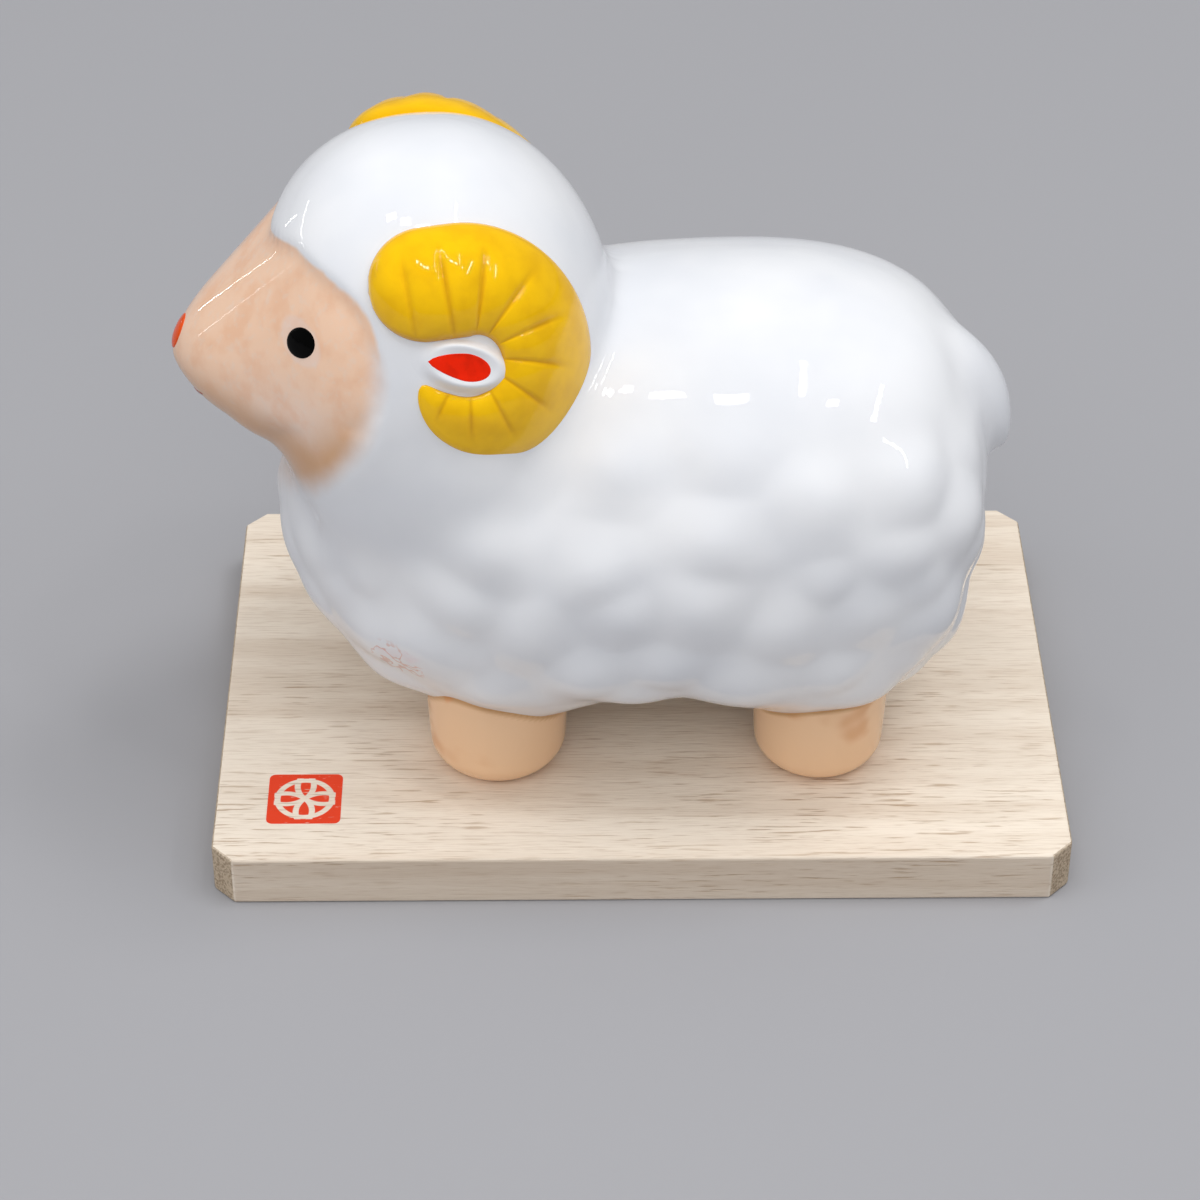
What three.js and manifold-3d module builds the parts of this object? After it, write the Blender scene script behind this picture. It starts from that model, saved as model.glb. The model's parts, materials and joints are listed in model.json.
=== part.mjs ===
// Painted ceramic sheep that stands on a small wooden board.
// Millimetres, +Z up. The origin is the middle of the board's underside.
// The sheep looks along -X, its left side is at -Y, and its own heights start at the board's top.

import * as THREE from "three";
import { ConvexGeometry } from "three/addons/geometries/ConvexGeometry.js";
import { mergeVertices } from "three/addons/utils/BufferGeometryUtils.js";
import Module from "manifold-3d";

const wasm = await Module();
wasm.setup();

// Clearances
const seatGap = 0.3;

// Board
const boardLength = 120;
const boardWidth = 80;
const boardThickness = 8;
const boardCornerClip = 3;
const boardEase = 0.6;

// Roundness of an oval: less is more pointed, more is squarer
const ovalRound = 2;

// Fleece body: how far it reaches from its middle, and how round each quarter is
const fleece = {
  middle: new THREE.Vector3(3.8, 0, 37.8),
  front: 54.9,
  rear: 44.3,
  side: 34.8,
  up: 30.8,
  down: 35.2,
  slope: 0.06,
  frontRound: 2.08,
  rearRound: 2.88,
  topRound: ovalRound,
  underRound: 2.6,
};

// The belly arches up between the front and rear legs
const bellyArch = 8.4;
const bellyArchMiddle = 2.6;
const bellyArchHalfSpan = 27;

// Head under its fleece cap
const skull = {
  middle: new THREE.Vector3(-27.5, 0, 60.5),
  front: 25.8,
  rear: 24.3,
  side: 28.8,
  up: 30.7,
  down: 30,
  slope: 0,
  frontRound: 2.34,
  rearRound: ovalRound,
  topRound: ovalRound,
  underRound: ovalRound,
};

// Muzzle, which tapers to the nose
const muzzle = {
  middle: new THREE.Vector3(-43.1, 0, 63),
  front: 21.6,
  rear: 12,
  side: 19,
  up: 16,
  down: 16.9,
  slope: 0.22,
  frontRound: 1.5,
  rearRound: ovalRound,
  topRound: ovalRound,
  underRound: ovalRound,
};

// Where the bare face ends against the fleece, seen from the side
const browHeight = 79.5;
const browCorner = 7;
const cheekEdge = -34.5;
const cheekRun = 6.5;
const cheekFoot = browHeight - browCorner - cheekRun;
const jawRun = 14.5;
const jawDrop = 24;
const browStep = 0.6;
const tautDepth = 19.5;
const clearAhead = muzzle.middle.x - 2 * muzzle.front;
const clearBeside = 2 * skull.side;

// Horns: a tapered half-round whose straight root runs into a round coil, laid on the head's side
const hornRearTurn = 7.7;
const hornRise = 38.5;
const hornFaceTurn = 2.2;
const hornFaceRise = 39.9;
const hornCoilMiddle = new THREE.Vector2(2, -4.9);
const hornCoilRadius = 9.8;
const hornCoilStart = 96.8;
const hornCoilEnd = -151;
const hornRootRun = 4.7;
const hornRootHalfWidth = 7.5;
const hornTipHalfWidth = 1.7;
const hornTipRun = 6.5;
const hornTipCurl = 2.1;
const hornCurlSharpness = 3;
const hornCoilSwell = 0.8;
const hornHeightShare = 0.38;
const hornCoilFlatness = 0.13;
const hornRings = 11;
const hornGrooveShare = 0.22;
const hornGrooveSharpness = 3;

// Ears: a dished leaf inside each coil, with a coloured lining
const earMiddle = new THREE.Vector2(0.9, -6.4);
const earTurn = -10;
const earHalfLength = 6.8;
const earHalfWidth = 3.4;
const earHeight = 2.2;
const dishMiddle = new THREE.Vector2(0.7, -6.6);
const dishPoint = 7.2;
const dishRound = 4.4;
const dishHalfWidth = 2.5;
const dishDepth = 1.4;
const dishPointRound = 1.6;
const liningStep = 0.35;

// Legs: short stubs with a flat, rounded foot
const frontLegPlace = new THREE.Vector2(-20.2, 16);
const rearLegPlace = new THREE.Vector2(25.4, 16.2);
const frontLegRadius = 10.5;
const rearLegRadius = 10;
const footRound = 3.8;
const legTaper = 0.8;
const legLength = 20;

// Tail: a drop that follows the rump down
const tailRise = 20;
const tailLean = 60;
const tailHalfLength = 12.5;
const tailHalfWidth = 6.5;
const tailHeight = 2.5;
const tailDrapeRadius = 26;

// Enamel eyes and nose: places from the face's border and the muzzle, and sizes
const eyeAheadOfCheek = 10.5;
const eyeBelowBrow = 7.5;
const eyeHalfLength = 2.4;
const eyeHalfHeight = 2.05;
const eyeSwell = 0.8;
const noseBelowMuzzle = 1.6;
const noseHalfWidth = 2.8;
const noseHalfLength = 2.7;
const noseSwell = 0.75;

// Fineness of the rounded forms
const ballDetail = { large: 10, middle: 8, small: 4, tiny: 3 };
const hornRowsPerRing = 5;
const hornColumns = 14;
const legSides = 26;
const footSteps = 6;
const browCornerSteps = 8;
const weldDistance = 1e-4;

const finish = {
  fleece: { color: 0xeef0f2, roughness: 0.12, metalness: 0 },
  skin: { color: 0xe3bd9b, roughness: 0.15, metalness: 0 },
  horn: { color: 0xf2b416, roughness: 0.12, metalness: 0 },
  red: { color: 0xea4a14, roughness: 0.2, metalness: 0 },
  eye: { color: 0x0b0a0a, roughness: 0.1, metalness: 0 },
  wood: { color: 0xe0ceb4, roughness: 0.75, metalness: 0 },
};

// Geometry and solids

function weld(geometry) {
  geometry.deleteAttribute("normal");
  geometry.deleteAttribute("uv");
  return mergeVertices(geometry, weldDistance);
}

function toSolid(geometry) {
  return new wasm.Manifold(new wasm.Mesh({
    numProp: 3,
    vertProperties: new Float32Array(geometry.attributes.position.array),
    triVerts: new Uint32Array(geometry.index.array),
  }));
}

function toGeometry(solid) {
  const { vertProperties, triVerts } = solid.getMesh();
  const geometry = new THREE.BufferGeometry();
  geometry.setAttribute("position", new THREE.BufferAttribute(new Float32Array(vertProperties), 3));
  geometry.setIndex(new THREE.BufferAttribute(new Uint32Array(triVerts), 1));
  return geometry;
}

// Moves every vertex of a welded form to the place that a function gives it
function reshaped(geometry, place) {
  const position = geometry.attributes.position;
  const vertex = new THREE.Vector3();
  for (let i = 0; i < position.count; i += 1) {
    vertex.fromBufferAttribute(position, i);
    place(vertex);
    position.setXYZ(i, vertex.x, vertex.y, vertex.z);
  }
  return geometry;
}

// A copy whose skin is moved outward, or inward where the distance is negative
function swollen(geometry, distance) {
  const copy = geometry.clone();
  copy.computeVertexNormals();
  const position = copy.attributes.position;
  const normal = copy.attributes.normal;
  const vertex = new THREE.Vector3();
  const outward = new THREE.Vector3();
  for (let i = 0; i < position.count; i += 1) {
    vertex.fromBufferAttribute(position, i);
    outward.fromBufferAttribute(normal, i);
    vertex.addScaledVector(outward, distance);
    position.setXYZ(i, vertex.x, vertex.y, vertex.z);
  }
  copy.deleteAttribute("normal");
  return copy;
}

// A piece cut back from each piece that it seats on
function seated(geometry, ...hosts) {
  let solid = toSolid(geometry);
  for (const host of hosts) {
    solid = solid.subtract(toSolid(swollen(host, seatGap)));
  }
  return toGeometry(solid);
}

function mirrored(geometry) {
  const copy = geometry.clone();
  copy.scale(1, -1, 1);
  const corners = copy.index.array;
  for (let i = 0; i < corners.length; i += 3) {
    [corners[i], corners[i + 1]] = [corners[i + 1], corners[i]];
  }
  return copy;
}

// Plump forms: six reaches from a middle, with a roundness for each quarter

function reach(form, direction) {
  const height = direction.z - form.slope * direction.x;
  const lengthReach = direction.x < 0 ? form.front : form.rear;
  const lengthRound = direction.x < 0 ? form.frontRound : form.rearRound;
  const heightReach = height > 0 ? form.up : form.down;
  const girthRound = height > 0 ? form.topRound : form.underRound;
  const across = Math.pow(Math.abs(direction.y) / form.side, girthRound);
  const along = Math.pow(Math.abs(height) / heightReach, girthRound);
  const girth = Math.pow(across + along, 1 / girthRound);
  const length = Math.abs(direction.x) / lengthReach;
  return Math.pow(Math.pow(length, lengthRound) + Math.pow(girth, lengthRound), -1 / lengthRound);
}

function plump(form, detail) {
  const ball = weld(new THREE.IcosahedronGeometry(1, detail));
  return reshaped(ball, (vertex) => {
    vertex.normalize();
    vertex.multiplyScalar(reach(form, vertex)).add(form.middle);
  });
}

// The point on a form's skin in the direction of two angles, on the sheep's left side
function skinPoint(form, rearTurn, rise) {
  const turn = THREE.MathUtils.degToRad(rearTurn);
  const lift = THREE.MathUtils.degToRad(rise);
  const flat = Math.cos(lift);
  const direction = new THREE.Vector3(flat * Math.sin(turn), -flat * Math.cos(turn), Math.sin(lift));
  return direction.multiplyScalar(reach(form, direction)).add(form.middle);
}

// Where a straight line first meets a piece, and which way its skin faces there
function landing(geometry, from, direction) {
  const [hit] = new THREE.Raycaster(from, direction).intersectObject(new THREE.Mesh(geometry));
  return { point: hit.point, outward: hit.face.normal };
}

// A flat drop, round at its rear and pointed or round at its front, lying in the local plane
function drop(front, rear, side, height, frontRound, detail) {
  const form = {
    middle: new THREE.Vector3(),
    front,
    rear,
    side,
    up: height,
    down: height,
    slope: 0,
    frontRound,
    rearRound: ovalRound,
    topRound: ovalRound,
    underRound: ovalRound,
  };
  return plump(form, detail);
}

// Stands a flat piece on a skin: its X runs along it and its Z points outward
function stood(geometry, along, outward, origin) {
  const across = new THREE.Vector3().crossVectors(outward, along).normalize();
  const straight = new THREE.Vector3().crossVectors(across, outward).normalize();
  const place = new THREE.Matrix4().makeBasis(straight, across, outward).setPosition(origin);
  return geometry.clone().applyMatrix4(place);
}

// Board: a clipped rectangle with eased edges

function boardForm() {
  const x = boardLength / 2 - boardEase;
  const y = boardWidth / 2 - boardEase;
  const clip = boardCornerClip;
  const outline = new THREE.Shape();
  outline.moveTo(x - clip, -y);
  outline.lineTo(x, clip - y);
  outline.lineTo(x, y - clip);
  outline.lineTo(x - clip, y);
  outline.lineTo(clip - x, y);
  outline.lineTo(-x, y - clip);
  outline.lineTo(-x, clip - y);
  outline.lineTo(clip - x, -y);
  outline.closePath();
  const board = new THREE.ExtrudeGeometry(outline, {
    depth: boardThickness - 2 * boardEase,
    bevelEnabled: true,
    bevelSize: boardEase,
    bevelThickness: boardEase,
    bevelSegments: 1,
  });
  board.translate(0, 0, boardEase);
  return weld(board);
}

// Head and face: the face fills a notch in the front of the head

function faceRegion(grow) {
  const low = cheekFoot - jawDrop - grow;
  const outline = new THREE.Shape();
  outline.moveTo(clearAhead, browHeight + grow);
  outline.lineTo(cheekEdge - browCorner, browHeight + grow);
  outline.quadraticCurveTo(cheekEdge + grow, browHeight + grow, cheekEdge + grow, browHeight - browCorner);
  outline.lineTo(cheekEdge + grow, cheekFoot);
  outline.lineTo(cheekEdge - jawRun + grow, low);
  outline.lineTo(clearAhead, low);
  outline.closePath();
  const depth = 2 * clearBeside;
  const region = new THREE.ExtrudeGeometry(outline, {
    depth,
    bevelEnabled: false,
    curveSegments: browCornerSteps,
  });
  region.rotateX(Math.PI / 2);
  region.translate(0, depth / 2, 0);
  return weld(region);
}

// The face is a taut skin from the muzzle to the upper cheeks, a step below the fleece
function faceForm(skullForm) {
  const points = [];
  const cheeks = swollen(skullForm, -browStep);
  for (const form of [plump(muzzle, ballDetail.middle), cheeks]) {
    const lowest = form === cheeks ? browHeight - tautDepth : 0;
    const position = form.attributes.position;
    for (let i = 0; i < position.count; i += 1) {
      const point = new THREE.Vector3().fromBufferAttribute(position, i);
      if (point.x < cheekEdge + browCorner && point.z > lowest) {
        points.push(point);
      }
    }
  }
  const skin = toSolid(weld(new ConvexGeometry(points))).add(toSolid(cheeks));
  return toGeometry(skin.intersect(toSolid(faceRegion(0))));
}

function headForm(skullForm) {
  return toGeometry(toSolid(skullForm).subtract(toSolid(faceRegion(seatGap))));
}

// How far a line from a point runs before it enters a form
function runToSkin(form, from, direction) {
  let outside = -form.side / 2;
  let inside = form.side / 2;
  const probe = new THREE.Vector3();
  while (inside - outside > weldDistance) {
    const halfway = (outside + inside) / 2;
    probe.copy(from).addScaledVector(direction, halfway).sub(form.middle);
    if (reach(form, probe) < 1) {
      outside = halfway;
    } else {
      inside = halfway;
    }
  }
  return inside;
}

// Horns and ears are made flat, then laid on the round of the head at their own heights above it
function onHead(geometry) {
  const turn = THREE.MathUtils.degToRad(hornFaceTurn);
  const rise = THREE.MathUtils.degToRad(hornFaceRise);
  const outward = new THREE.Vector3(
    Math.cos(rise) * Math.sin(turn),
    -Math.cos(rise) * Math.cos(turn),
    Math.sin(rise),
  );
  const inward = outward.clone().negate();
  const along = new THREE.Vector3(Math.cos(turn), Math.sin(turn), 0);
  const across = new THREE.Vector3().crossVectors(outward, along);
  const middle = skinPoint(skull, hornRearTurn, hornRise);
  return reshaped(geometry, (vertex) => {
    const height = vertex.z;
    const flat = middle.clone().addScaledVector(along, vertex.x).addScaledVector(across, vertex.y);
    vertex.copy(flat).addScaledVector(outward, height - runToSkin(skull, flat, inward));
  });
}

// Middle of the horn and its outward side: a straight root run, then the share of the coil passed
function hornPath(back, coiled) {
  const start = THREE.MathUtils.degToRad(hornCoilStart);
  const turn = THREE.MathUtils.degToRad(THREE.MathUtils.lerp(hornCoilStart, hornCoilEnd, coiled));
  const side = new THREE.Vector2(Math.cos(turn), Math.sin(turn));
  const radius = hornCoilRadius - hornTipCurl * Math.pow(coiled, hornCurlSharpness);
  const middle = hornCoilMiddle.clone().addScaledVector(side, radius);
  middle.x -= back * Math.sin(start);
  middle.y += back * Math.cos(start);
  return { middle, side };
}

function roundedEnd(distance, radius) {
  const left = Math.max(0, 1 - distance / radius);
  return Math.sqrt(1 - left * left);
}

// A growth ring is a soft swell between two narrow grooves: 1 in the groove and 0 on the swell
function growthGroove(share) {
  return Math.pow(1 - Math.sin(Math.PI * ((share * hornRings) % 1)), hornGrooveSharpness);
}

function hornForm() {
  const tube = weld(new THREE.SphereGeometry(1, hornColumns, hornRings * hornRowsPerRing));
  const sweep = THREE.MathUtils.degToRad(hornCoilStart - hornCoilEnd);
  const coilLength = hornCoilRadius * sweep;
  const length = hornRootHalfWidth + hornRootRun + coilLength;
  return reshaped(tube, (vertex) => {
    const share = Math.acos(THREE.MathUtils.clamp(vertex.y, -1, 1)) / Math.PI;
    const round = Math.atan2(vertex.z, vertex.x);
    const fromRootEnd = share * length;
    const intoCoil = fromRootEnd + coilLength - length;
    const coiled = Math.max(0, intoCoil / coilLength);
    const { middle, side } = hornPath(Math.max(0, -intoCoil), coiled);
    const midCoil = Math.sin(Math.PI * coiled);
    const taper = THREE.MathUtils.lerp(hornRootHalfWidth, hornTipHalfWidth, coiled) + hornCoilSwell * midCoil;
    const ends = roundedEnd(fromRootEnd, hornRootHalfWidth)
      * roundedEnd(length - fromRootEnd, hornTipRun);
    const halfWidth = taper * ends;
    const grooved = 1 - hornGrooveShare * growthGroove(share);
    const height = (hornHeightShare - hornCoilFlatness * midCoil) * halfWidth * grooved;
    middle.addScaledVector(side, halfWidth * Math.cos(round));
    vertex.set(middle.x, middle.y, height * Math.sin(round));
  });
}

function onEar(geometry, middle, height) {
  geometry.rotateZ(THREE.MathUtils.degToRad(earTurn));
  return geometry.translate(middle.x, middle.y, height);
}

function earLeafForm() {
  const leaf = drop(earHalfLength, earHalfLength, earHalfWidth, earHeight, ovalRound, ballDetail.small);
  return onEar(leaf, earMiddle, 0);
}

// The dish in the ear's face, grown or shrunk all round
function dishForm(grow) {
  const point = dishPoint + grow;
  const round = dishRound + grow;
  const side = dishHalfWidth + grow;
  const dish = drop(point, round, side, dishDepth + grow, dishPointRound, ballDetail.tiny);
  return onEar(dish, dishMiddle, earHeight);
}

function earForm() {
  return toGeometry(toSolid(earLeafForm()).subtract(toSolid(dishForm(0))));
}

// The lining lies in the dish, a step below the ear's rim
function liningForm() {
  const fill = toSolid(dishForm(-seatGap));
  return toGeometry(fill.intersect(toSolid(swollen(earLeafForm(), -liningStep))));
}

function legForm(radius) {
  const profile = [new THREE.Vector2(0, 0)];
  for (let i = 0; i <= footSteps; i += 1) {
    const angle = (i / footSteps) * (Math.PI / 2);
    const across = radius - legTaper - footRound + footRound * Math.sin(angle);
    profile.push(new THREE.Vector2(across, footRound - footRound * Math.cos(angle)));
  }
  profile.push(new THREE.Vector2(radius, legLength));
  profile.push(new THREE.Vector2(0, legLength));
  const leg = new THREE.LatheGeometry(profile, legSides);
  leg.rotateX(Math.PI / 2);
  return weld(leg);
}

// Fleece body: a plump form whose belly arches up between the legs
function bodyForm() {
  return reshaped(plump(fleece, ballDetail.large), (vertex) => {
    const span = (vertex.x - bellyArchMiddle) / bellyArchHalfSpan;
    const low = (fleece.middle.z - vertex.z) / fleece.down;
    if (Math.abs(span) < 1 && low > 0) {
      const swell = Math.pow(Math.cos(span * Math.PI / 2), 2);
      vertex.z += bellyArch * swell * low;
    }
  });
}

// Tail: a drop that hangs down the rump
function draped(geometry, radius) {
  return reshaped(geometry, (vertex) => {
    vertex.z -= (vertex.x * vertex.x + vertex.y * vertex.y) / (2 * radius);
  });
}

function tailForm() {
  const tail = drop(tailHalfLength, tailHalfLength, tailHalfWidth, tailHeight, ovalRound, ballDetail.small);
  const lean = THREE.MathUtils.degToRad(tailLean);
  const down = new THREE.Vector3(Math.cos(lean), 0, -Math.sin(lean));
  const outward = new THREE.Vector3(Math.sin(lean), 0, Math.cos(lean));
  return stood(draped(tail, tailDrapeRadius), down, outward, skinPoint(fleece, 90, tailRise));
}

function eyeForm(face) {
  const eye = drop(eyeHalfLength, eyeHalfLength, eyeHalfHeight, eyeSwell, ovalRound, ballDetail.tiny);
  const beside = new THREE.Vector3(cheekEdge - eyeAheadOfCheek, -clearBeside, browHeight - eyeBelowBrow);
  const { point, outward } = landing(face, beside, new THREE.Vector3(0, 1, 0));
  return stood(eye, new THREE.Vector3(1, 0, 0), outward, point);
}

function noseForm(face) {
  const nose = drop(noseHalfLength, noseHalfLength, noseHalfWidth, noseSwell, ovalRound, ballDetail.tiny);
  const ahead = new THREE.Vector3(clearAhead, 0, muzzle.middle.z - noseBelowMuzzle);
  const { point, outward } = landing(face, ahead, new THREE.Vector3(1, 0, 0));
  outward.y = 0;
  return stood(nose, new THREE.Vector3(0, 0, -1), outward.normalize(), point);
}

// Pieces

const fleeceBody = bodyForm();
const skullForm = plump(skull, ballDetail.large);
const head = seated(headForm(skullForm), fleeceBody);
const face = seated(faceForm(skullForm), fleeceBody);
const hornSweep = onHead(hornForm());
const horn = seated(hornSweep, skullForm, fleeceBody);
const ear = seated(onHead(earForm()), skullForm, hornSweep);
const earLining = onHead(liningForm());
const tail = seated(tailForm(), fleeceBody);
const eye = seated(eyeForm(face), face);
const nose = seated(noseForm(face), face);

const figure = new THREE.Group();
figure.position.z = boardThickness;

const part = new THREE.Group();
part.add(figure);

function add(parent, name, geometry, look) {
  const mesh = new THREE.Mesh(geometry, new THREE.MeshStandardMaterial(look));
  mesh.name = name;
  parent.add(mesh);
}

add(part, "base_board", boardForm(), finish.wood);
add(figure, "fleece_body", fleeceBody, finish.fleece);
add(figure, "head", head, finish.fleece);
add(figure, "face", face, finish.skin);
add(figure, "horn_left", horn, finish.horn);
add(figure, "horn_right", mirrored(horn), finish.horn);
add(figure, "ear_left", ear, finish.fleece);
add(figure, "ear_right", mirrored(ear), finish.fleece);
add(figure, "ear_lining_left", earLining, finish.red);
add(figure, "ear_lining_right", mirrored(earLining), finish.red);
add(figure, "eye_left", eye, finish.eye);
add(figure, "eye_right", mirrored(eye), finish.eye);
add(figure, "nose", nose, finish.red);
add(figure, "tail", tail, finish.fleece);

const frontLeg = legForm(frontLegRadius);
const rearLeg = legForm(rearLegRadius);
for (const [name, leg, place] of [["front", frontLeg, frontLegPlace], ["rear", rearLeg, rearLegPlace]]) {
  const left = seated(leg.clone().translate(place.x, -place.y, 0), fleeceBody);
  add(figure, `leg_${name}_left`, left, finish.skin);
  add(figure, `leg_${name}_right`, mirrored(left), finish.skin);
}

export default part;
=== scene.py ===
"""Glazed sheep on its board: the skins, paint, enamel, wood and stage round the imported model."""

import json
import math

import bmesh
import bpy
import numpy as np
from bpy.props import FloatProperty, FloatVectorProperty, PointerProperty
from mathutils import Matrix, Vector, noise
from mathutils.bvhtree import BVHTree

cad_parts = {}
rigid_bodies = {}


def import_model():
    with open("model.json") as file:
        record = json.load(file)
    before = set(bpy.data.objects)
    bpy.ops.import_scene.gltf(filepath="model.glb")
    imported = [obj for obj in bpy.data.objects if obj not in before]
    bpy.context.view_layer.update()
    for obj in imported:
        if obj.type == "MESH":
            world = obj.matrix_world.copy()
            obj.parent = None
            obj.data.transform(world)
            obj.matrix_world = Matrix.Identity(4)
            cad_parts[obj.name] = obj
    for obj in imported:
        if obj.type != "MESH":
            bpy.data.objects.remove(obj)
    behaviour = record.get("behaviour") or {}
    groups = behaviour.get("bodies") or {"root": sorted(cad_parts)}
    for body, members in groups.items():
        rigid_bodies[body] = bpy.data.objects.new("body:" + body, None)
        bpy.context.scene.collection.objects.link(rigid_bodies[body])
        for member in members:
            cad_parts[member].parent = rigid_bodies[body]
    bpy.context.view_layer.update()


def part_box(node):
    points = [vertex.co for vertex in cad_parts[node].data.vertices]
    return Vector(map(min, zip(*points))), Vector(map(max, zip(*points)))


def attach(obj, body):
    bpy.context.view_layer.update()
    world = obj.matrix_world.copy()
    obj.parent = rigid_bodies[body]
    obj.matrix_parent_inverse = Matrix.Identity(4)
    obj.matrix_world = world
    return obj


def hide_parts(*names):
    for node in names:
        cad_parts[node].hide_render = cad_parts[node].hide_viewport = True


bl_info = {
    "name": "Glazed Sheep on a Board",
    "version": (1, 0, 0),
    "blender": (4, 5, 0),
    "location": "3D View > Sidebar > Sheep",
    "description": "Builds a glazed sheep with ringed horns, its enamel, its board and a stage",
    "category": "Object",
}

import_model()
BOARD_LOW, BOARD_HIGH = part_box("base_board")

# The figure is modelled in millimetres above the board's top, and then put in the frame in metres
MM = 0.001
FIGURE = Matrix.Translation((0, 0, BOARD_HIGH.z)) @ Matrix.Scale(MM, 4)


def paint(code):
    """A colour written as red, green and blue from 0 to 255, as the shader's linear colour."""
    shares = [((code >> shift) & 255) / 255 for shift in (16, 8, 0)]
    return tuple(s / 12.92 if s <= 0.04045 else ((s + 0.055) / 1.055) ** 2.4 for s in shares)


def colour(name, description, code):
    """A colour that a user can change."""
    return FloatVectorProperty(
        name=name, description=description, subtype="COLOR", min=0, max=1, default=paint(code)
    )


def length(name, description, value):
    """A length that a user can change, written here in millimetres."""
    return FloatProperty(name=name, description=description, unit="LENGTH", default=value * MM)


def strength(name, description, default):
    """A share or the strength of a lamp, which a user can change."""
    return FloatProperty(name=name, description=description, default=default)


# Settings that a user would change


class SheepWool(bpy.types.PropertyGroup):
    glaze: colour("Glaze", "White of the glazed fleece", 0xF3F4F7)
    glaze_shade: colour("Thin glaze", "White where the glaze is thinner", 0xE9EBF0)
    fineness: length("Skin Fineness", "Size of the skin's faces", 0.6)
    neck_fillet: length("Joint Fillet", "How far the fillets reach from the casting's joints", 5.5)
    lump_height: length("Lump Height", "Height of the lumps of wool", 1.6)


class SheepFace(bpy.types.PropertyGroup):
    peach: colour("Peach", "Sprayed colour of the bare face", 0xFCD4B6)
    pale: colour("Pale Cheek", "Thinner spray on the cheek", 0xF7DECE)
    # The jaw colour is partly sprayed tan and partly painted shade on the underside of the face
    tan: colour("Jaw", "Thicker spray along the jaw", 0xD9A87C)
    brow_step: length("Brow Step", "Depth of the face under the edge of the cap", 1.1)
    spray_edge: length("Sprayed Edge", "Width of the soft edge on the cheek", 2.4)


class SheepHorns(bpy.types.PropertyGroup):
    amber: colour("Amber", "Yellow of the horns", 0xFFC800)
    # The ochre also darkens the horns' foot, partly as painted shade where they meet the head
    ochre: colour("Ochre", "Yellow that gathers in the grooves", 0xC98500)
    groove_share: strength("Groove Depth", "Share of the horn's height that a groove takes", 0.12)


class SheepEnamel(bpy.types.PropertyGroup):
    red: colour("Red", "Ear linings", 0xF82602)
    nose: colour("Nose", "Nose", 0xEC5414)
    mouth: colour("Mouth", "Mouth stroke", 0xA8492A)
    black: colour("Black", "Eyes", 0x050505)
    thickness: length("Thickness", "How far the enamel stands proud", 0.35)


class SheepLegs(bpy.types.PropertyGroup):
    peach: colour("Peach", "Sprayed colour of the legs", 0xF9CFA6)
    blush: colour("Blush", "Warmer spots in the spray", 0xDE9A64)
    # The hem line is painted shade: a darker band on the leg just under the fleece's overhang
    hem_shade: colour("Hem Line", "Line where a leg meets the fleece", 0xC08A4E)


class SheepBoard(bpy.types.PropertyGroup):
    wood: colour("Wood", "Pale wood", 0xF8EBDA)
    # The grain colour also paints shade on the board's long front and back sides
    grain_and_shade: colour("Grain", "Fine dark streaks of the grain", 0xA8835C)
    ink: colour("Seal Ink", "Printed seal", 0xEE3F12)
    corner_clip: length("Corner Clip", "How much of each corner is cut off", 3)
    seal_size: length("Seal Size", "Side of the printed seal", 10.4)


class SheepStage(bpy.types.PropertyGroup):
    floor: colour("Floor", "Plain floor", 0xA6A6AA)
    sky: strength("Room Light", "Strength of the light from all round", 0.22)
    key: strength("Ceiling Light", "Radiance of the ceiling", 0.64)
    front: strength("Front Light", "Radiance of the lamp in front", 1.1)
    window: strength("Window Light", "Radiance of the lamp with the shadow", 9)
    tube: strength("Tube Light", "Radiance of the bright tubes", 20)
    focal: FloatProperty(
        name="Focal Length", description="Camera lens", subtype="DISTANCE_CAMERA", default=107.43
    )


# Rounded forms


class Plump:
    """A rounded form: how far it reaches from its middle, and how round each quarter is."""

    def __init__(self, middle, front, rear, side, up, down, slope=0.0, ends=(2.0, 2.0), under=2.0):
        self.middle = np.array(middle)
        self.front, self.rear = front, rear
        self.side, self.up, self.down = side, up, down
        self.slope, self.ends, self.under = slope, ends, under

    def fullness(self, points):
        """1 on the skin, less inside it and more outside."""
        away = points - self.middle
        height = away[:, 2] - self.slope * away[:, 0]
        ahead, above = away[:, 0] < 0, height > 0
        lengthwise = np.abs(away[:, 0]) / np.where(ahead, self.front, self.rear)
        end_round = np.where(ahead, *self.ends)
        girth_round = np.where(above, 2.0, self.under)
        across = (np.abs(away[:, 1]) / self.side) ** girth_round
        upright = (np.abs(height) / np.where(above, self.up, self.down)) ** girth_round
        girth = (across + upright) ** (1 / girth_round)
        return (lengthwise**end_round + girth**end_round) ** (1 / end_round)

    def skin(self, directions):
        """The points of the skin in some directions from the middle."""
        return self.middle + directions / self.fullness(self.middle + directions)[:, None]


FLEECE = Plump(
    (3.8, 0, 37.8), 54.9, 44.3, 34.8, 30.8, 35.2, slope=0.06, ends=(2.08, 2.88), under=2.6
)
SKULL = Plump((-27.5, 0, 60.5), 25.8, 24.3, 28.8, 30.7, 30, ends=(2.34, 2.0))
MUZZLE = Plump((-43.1, 0, 63), 21.6, 12, 19, 16, 16.9, slope=0.22, ends=(1.5, 2.0))

BELLY_ARCH = 8.4
BELLY_ARCH_MIDDLE = 2.6
BELLY_ARCH_HALF_SPAN = 27

# The face's border, seen from the side: a brow, an upright cheek and a slanted jaw. The brow dips
# to a point in front.
BROW_HEIGHT = 77.6
BROW_SLOPE = 0.37
BROW_HALF_WIDTH = 10.5
CHEEK_EDGE = -34.2
CHEEK_FOOT = 66.0
JAW_OUTWARD = Vector((24, -14.5)).normalized()
BROW_ROUND = 17.0
CHEEK_ROUND = 5.0
STEP_HALF_WIDTH = 0.5
TAUT_HEIGHT = 60.0

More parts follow.
